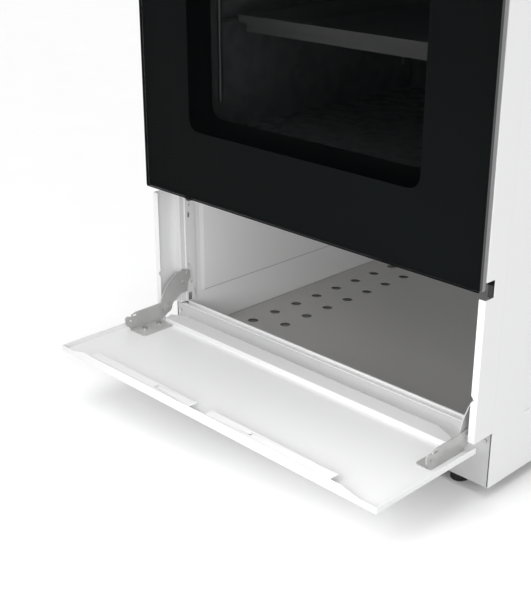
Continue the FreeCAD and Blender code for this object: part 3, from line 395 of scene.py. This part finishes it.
# Dark sheets that are painted shade: shadow lines in the seams and the shade in the hinge pockets.
GAP_SHEETS = (
    # piece, x from the side's outside, y behind the door plane, z, material
    ("plinth_shadow_seam", (-0.0022, -0.0012), (0.0428, 0.0436), (0.016, 0.079), SHADE),
    ("hinge_pocket_shade", (-0.0115, -0.0012), (0.0236, 0.0243), (0.2485, 0.2553), POCKET_SHADE))
# Dark strip under the liner's embossed field: painted shadow of its lower edge.
LINER_SHADOW_SEAM = ((0.2389, 0.2398), (0.0830, 0.5560), (0.0882, 0.0890))
UNDERLAY_INSET = (0.002, 0.003)
UNDERLAY_Z = (0.0345, 0.0350)


def mirrored_slabs(piece, xs, ys, zs, mat, front):
    """The same thin sheet on the left and on the right, with y counted from the door plane."""
    for name, sign in (("left", -1), ("right", 1)):
        x_low, x_high = sorted(sign * x for x in xs)
        low, high = (x_low, front + ys[0], zs[0]), (x_high, front + ys[1], zs[1])
        slab(f"{piece}_{name}", low, high, mat, "cabinet")


def shadow_gaps():
    """Painted shadow in the seams between sheets, painted shade in the pockets behind the post notches, and a
    grey sheet under the floor whose tone is painted shade seen through its holes.
    """
    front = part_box("door_outer_glass")[0].y
    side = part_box("side_panel_right")[1].x
    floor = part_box("storage_floor")
    for piece, inset, ys, zs, mat in GAP_SHEETS:
        mirrored_slabs(piece, [side + x for x in inset], ys, zs, mat, front)
    mirrored_slabs("liner_shadow_seam", *LINER_SHADOW_SEAM, SHADE, front)
    # Grey sheet under the floor: painted shade seen through the floor holes.
    in_x, in_y = UNDERLAY_INSET
    slab("floor_shade_underlay", (floor[0].x + in_x, floor[0].y + in_y, UNDERLAY_Z[0]),
         (floor[1].x - in_x, floor[1].y - in_y, UNDERLAY_Z[1]), UNDERLAY_SHADE, "cabinet")


DIAL_REACH = 0.0225
BURNER_OF = {1: 0, 2: 1, 4: 3, 5: 2}
TICK = [(-0.00045, 0.0), (0.00045, 0.0), (0.00045, 0.0034), (-0.00045, 0.0034)]
DOT_STEP, DOT_ROW, DOT_RADIUS, DOT_INNER = 0.0060, 0.0330, 0.0021, 0.0016
OVEN_SIGN_HALF, OVEN_SIGN_LOW, OVEN_SIGN_HIGH, OVEN_LINE = 0.0052, 0.0315, 0.0395, 0.0008


def bar(x_low, x_high, z_low, z_high):
    """Outline of an upright rectangle."""
    return [(x_low, z_low), (x_high, z_low), (x_high, z_high), (x_low, z_high)]


def hob_sign(bm, x, z, index, front_y, back_y):
    """Four dots for the burners, with the one that the knob serves filled in."""
    for spot in range(4):
        centre = (x + DOT_STEP * (spot // 2 - 0.5), z + DOT_ROW + DOT_STEP * (spot % 2))
        if spot == BURNER_OF[index]:
            flat_shape(bm, turned(disc_outline(DOT_RADIUS), centre, 0), front_y, back_y)
        else:
            ring_outline_quads(bm, centre, DOT_INNER, DOT_RADIUS, front_y)


def oven_sign(bm, x, z, front_y, back_y):
    """Open square for the oven."""
    half, low, high = OVEN_SIGN_HALF, z + OVEN_SIGN_LOW, z + OVEN_SIGN_HIGH
    flat_shape(bm, bar(x - half, x + half, low, low + OVEN_LINE), front_y, back_y)
    flat_shape(bm, bar(x - half, x + half, high, high + OVEN_LINE), front_y, back_y)
    for side in (-1, 1):
        edge = x + side * (half - OVEN_LINE / 2)
        upright = bar(edge - OVEN_LINE / 2, edge + OVEN_LINE / 2, low + OVEN_LINE, high)
        flat_shape(bm, upright, front_y, back_y)


def panel_marks():
    """Dial marks round each knob, and which burner it serves."""
    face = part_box("control_panel")[0].y
    front_y, back_y = face - 0.00012, face + 0.0002
    bm = bmesh.new()
    for index in range(1, 6):
        low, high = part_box(f"valve_stem_{index}")
        x, z = (low.x + high.x) / 2, (low.z + high.z) / 2
        flat_shape(bm, turned(disc_outline(0.0013), (x, z + DIAL_REACH + 0.0015), 0), front_y, back_y)
        for degrees in range(100, 220, 12):
            turn = math.radians(degrees)
            root = (x - math.sin(turn) * DIAL_REACH, z + math.cos(turn) * DIAL_REACH)
            flat_shape(bm, turned(TICK, root, degrees), front_y, back_y)
        for size, centre in ((0.0032, (x - DIAL_REACH - 0.0035, z + 0.0005)),
                             (0.0020, (x + 0.0125, z - DIAL_REACH + 0.001))):
            flat_shape(bm, turned(flame_outline(size), centre, 0), front_y, back_y)
        if index in BURNER_OF:
            hob_sign(bm, x, z, index, front_y, back_y)
        else:
            oven_sign(bm, x, z, front_y, back_y)
    link("panel_marks", bm, INK, "cabinet")


POINTER_HALF, POINTER_LOW, POINTER_HIGH, POINTER_CORNER = 0.0009, 0.0055, 0.0150, 0.0008


def knob_pointers():
    """Dark line on the grip of each knob, pointing up when it is off."""
    for index in range(1, 6):
        low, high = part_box(f"knob_{index}")
        x, z = (low.x + high.x) / 2, (low.z + high.z) / 2
        bm = bmesh.new()
        outline = rounded_outline(x - POINTER_HALF, x + POINTER_HALF, z + POINTER_LOW, z + POINTER_HIGH,
                                  POINTER_CORNER, 4)
        flat_shape(bm, outline, low.y - 0.00015, low.y + 0.0004)
        link(f"knob_{index}_pointer", bm, INK, f"knob_{index}_body")


# ---- camera, light and floor ----

def aim(obj, azimuth, elevation):
    """Turn an object so that it looks along the given view."""
    turn, tilt = math.radians(azimuth), math.radians(elevation)
    back = Vector((math.sin(turn) * math.cos(tilt), -math.cos(turn) * math.cos(tilt), math.sin(tilt)))
    obj.rotation_euler = (-back).to_track_quat("-Z", "Y").to_euler()


def add_camera():
    """Camera in front of the right corner, looking down a little on the open flap."""
    lens_mm, azimuth, elevation = 66.18, 45.547, 22.528
    data = bpy.data.cameras.new("camera")
    camera = bpy.data.objects.new("camera", data)
    bpy.context.scene.collection.objects.link(camera)
    data.lens = lens_mm
    data.sensor_width = 36
    camera.location = (0.7953, -1.0450, 0.6407)
    aim(camera, azimuth, elevation)
    data.clip_start = 0.05
    bpy.context.scene.camera = camera


def add_area(name, azimuth, elevation, distance, size, power):
    """Square soft light in the given direction, turned to the middle of the range."""
    data = bpy.data.lights.new(name, "AREA")
    data.shape = "SQUARE"
    data.size = size
    data.energy = power
    lamp = bpy.data.objects.new(name, data)
    bpy.context.scene.collection.objects.link(lamp)
    aim(lamp, azimuth, elevation)
    back = lamp.rotation_euler.to_matrix() @ Vector((0, 0, 1))
    lamp.location = Vector((0, -0.1, 0.4)) + back * distance


def add_lamp(name, place, target, size, power, cone):
    """Small soft light at a place, turned to a target."""
    data = bpy.data.lights.new(name, "AREA")
    data.size = size
    data.spread = math.radians(cone)
    data.energy = power
    lamp = bpy.data.objects.new(name, data)
    bpy.context.scene.collection.objects.link(lamp)
    lamp.location = place
    lamp.rotation_euler = (Vector(target) - Vector(place)).to_track_quat("-Z", "Y").to_euler()


def add_sun(name, azimuth, elevation, spread_angle, strength):
    """Very soft sunlight from the given direction."""
    data = bpy.data.lights.new(name, "SUN")
    data.angle = math.radians(spread_angle)
    data.energy = strength
    lamp = bpy.data.objects.new(name, data)
    bpy.context.scene.collection.objects.link(lamp)
    aim(lamp, azimuth, elevation)


def add_studio():
    """Camera, even surround, three soft lights and a plain pale floor."""
    add_camera()
    world = bpy.data.worlds.new("studio")
    bpy.context.scene.world = world
    world.use_nodes = True
    world.node_tree.nodes["Background"].inputs["Color"].default_value = (1, 1, 1, 1)
    world.node_tree.nodes["Background"].inputs["Strength"].default_value = 0.73
    add_area("key", 66, 18, 3.2, 1.4, 12)
    add_sun("overhead", -10, 77, 48, 1.06)
    add_lamp("opening", (0.22, -0.62, 0.26), (-0.22, 0.06, 0.14), 0.22, 1.05, 150)
    floor_mat = finish_material("pale_floor", (0.93, 0.93, 0.93), (0.94, 0.94, 0.94), (0.8, 0.9), 0.05)
    bpy.ops.mesh.primitive_plane_add(size=40)
    floor = bpy.context.object
    floor.name = "floor"
    floor.data.materials.append(floor_mat)
    bpy.context.scene.view_settings.view_transform = "Standard"


dress_cad()
soften(("storage_flap",), 0.0008, 3)
soften(("front_post_left", "front_post_right", "side_panel_left", "side_panel_right",
        "control_panel", "base_frame", "flap_brackets", "flap_hinge_arms"), 0.0005)
soften(("storage_sill", "storage_liners", "hob_top", "door_frame"), 0.0003)
soften(("pan_support_left", "pan_support_right", "knob_1", "knob_2", "knob_3", "knob_4", "knob_5",
        "door_handle"), 0.0012, 3)
door_print()
shadow_gaps()
panel_marks()
knob_pointers()
add_studio()
